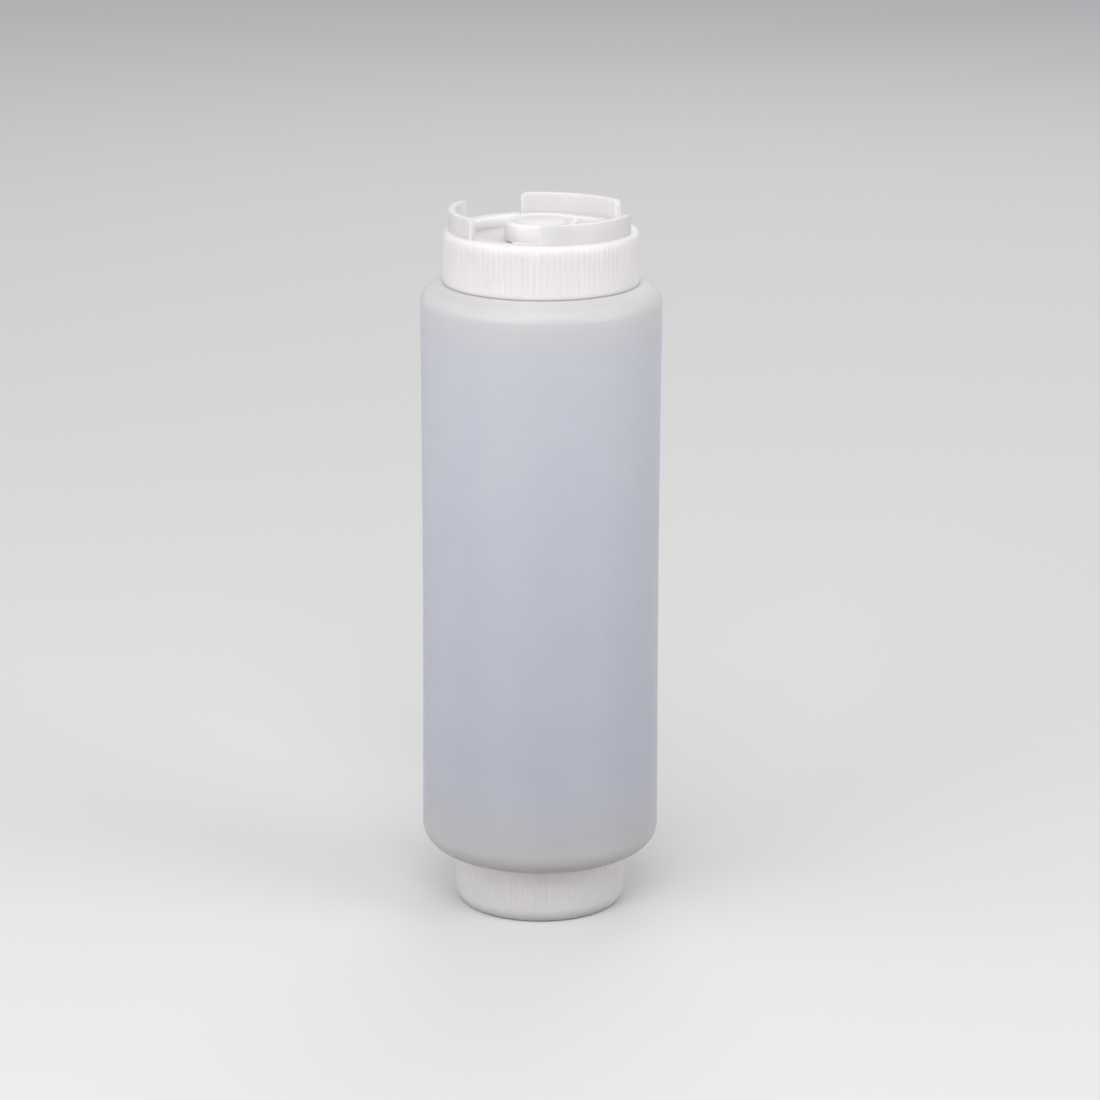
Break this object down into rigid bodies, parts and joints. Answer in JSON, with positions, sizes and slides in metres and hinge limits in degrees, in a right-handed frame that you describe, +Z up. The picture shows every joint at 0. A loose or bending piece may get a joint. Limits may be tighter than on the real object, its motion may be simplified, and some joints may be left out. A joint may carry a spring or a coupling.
{
  "type": "squeeze sauce bottle",
  "caption": "Cylindrical squeeze bottle for sauce with a threaded dispensing cap, slit valve, small flip lid and stand tabs on top, and a threaded refill cap as its foot.",
  "frame": {"origin": "centre of the refill cap's resting face, on the table", "axes": "+Z up along the bottle's axis towards the dispensing cap, -Y the front, +X to the right seen from the front"},
  "size_m": [0.07, 0.07, 0.2093],
  "materials": {
    "bottle_plastic": "translucent natural polyethylene, soft satin",
    "cap_plastic": "milky natural polypropylene, moulded satin with fine grip ribs",
    "lid_plastic": "milky natural polypropylene, moulded satin",
    "retainer_plastic": "natural polypropylene, satin",
    "valve_silicone": "translucent silicone, soft matt",
    "seal_foam": "closed-cell polyethylene foam"
  },
  "bodies": {
    "bottle": {"bottle": "bottle_plastic"},
    "dispensing_seal": {"dispensing_seal": "seal_foam"},
    "dispensing_cap": {"dispensing_cap": "cap_plastic", "valve": "valve_silicone", "valve_retainer": "retainer_plastic"},
    "flip_lid": {"flip_lid": "lid_plastic"},
    "valve_flap_1": {"valve_flap_1": "valve_silicone"},
    "valve_flap_2": {"valve_flap_2": "valve_silicone"},
    "valve_flap_3": {"valve_flap_3": "valve_silicone"},
    "valve_flap_4": {"valve_flap_4": "valve_silicone"},
    "refill_seal": {"refill_seal": "seal_foam"},
    "refill_cap": {"refill_cap": "cap_plastic"}
  },
  "joints": [
    {"name": "dispensing_cap_rise", "type": "slide", "parent": "bottle", "child": "dispensing_seal", "axis": [0, 0, 1], "range_m": [0, 0.00525]},
    {"name": "dispensing_cap_turn", "type": "hinge", "parent": "dispensing_seal", "child": "dispensing_cap", "pos_m": [0, 0, 0.195], "axis": [0, 0, 1], "range_deg": [0, 449.9]},
    {"name": "flip_lid_hinge", "type": "hinge", "parent": "dispensing_cap", "child": "flip_lid", "pos_m": [0.00506, 0.01252, 0.202], "axis": [-0.9272, 0.3746, 0], "range_deg": [0, 120]},
    {"name": "valve_flap_1_bend", "type": "hinge", "parent": "dispensing_cap", "child": "valve_flap_1", "pos_m": [0.00202, -0.00202, 0.2024], "axis": [0.7071, 0.7071, 0], "range_deg": [0, 50], "stiffness_Nm_per_rad": 0.00006},
    {"name": "valve_flap_2_bend", "type": "hinge", "parent": "dispensing_cap", "child": "valve_flap_2", "pos_m": [0.00202, 0.00202, 0.2024], "axis": [-0.7071, 0.7071, 0], "range_deg": [0, 50], "stiffness_Nm_per_rad": 0.00006},
    {"name": "valve_flap_3_bend", "type": "hinge", "parent": "dispensing_cap", "child": "valve_flap_3", "pos_m": [-0.00202, 0.00202, 0.2024], "axis": [-0.7071, -0.7071, 0], "range_deg": [0, 50], "stiffness_Nm_per_rad": 0.00006},
    {"name": "valve_flap_4_bend", "type": "hinge", "parent": "dispensing_cap", "child": "valve_flap_4", "pos_m": [-0.00202, -0.00202, 0.2024], "axis": [0.7071, -0.7071, 0], "range_deg": [0, 50], "stiffness_Nm_per_rad": 0.00006},
    {"name": "refill_cap_drop", "type": "slide", "parent": "bottle", "child": "refill_seal", "axis": [0, 0, -1], "range_m": [0, 0.00525]},
    {"name": "refill_cap_turn", "type": "hinge", "parent": "refill_seal", "child": "refill_cap", "pos_m": [0, 0, 0.009], "axis": [0, 0, -1], "range_deg": [0, 449.9]}
  ],
  "couplings": [
    {"joint": "dispensing_cap_rise", "follows": "dispensing_cap_turn", "m_per_rad": 0.00066845},
    {"joint": "refill_cap_drop", "follows": "refill_cap_turn", "m_per_rad": 0.00066845},
    {"joint": "valve_flap_2_bend", "follows": "valve_flap_1_bend", "ratio": 1},
    {"joint": "valve_flap_3_bend", "follows": "valve_flap_1_bend", "ratio": 1},
    {"joint": "valve_flap_4_bend", "follows": "valve_flap_1_bend", "ratio": 1}
  ]
}
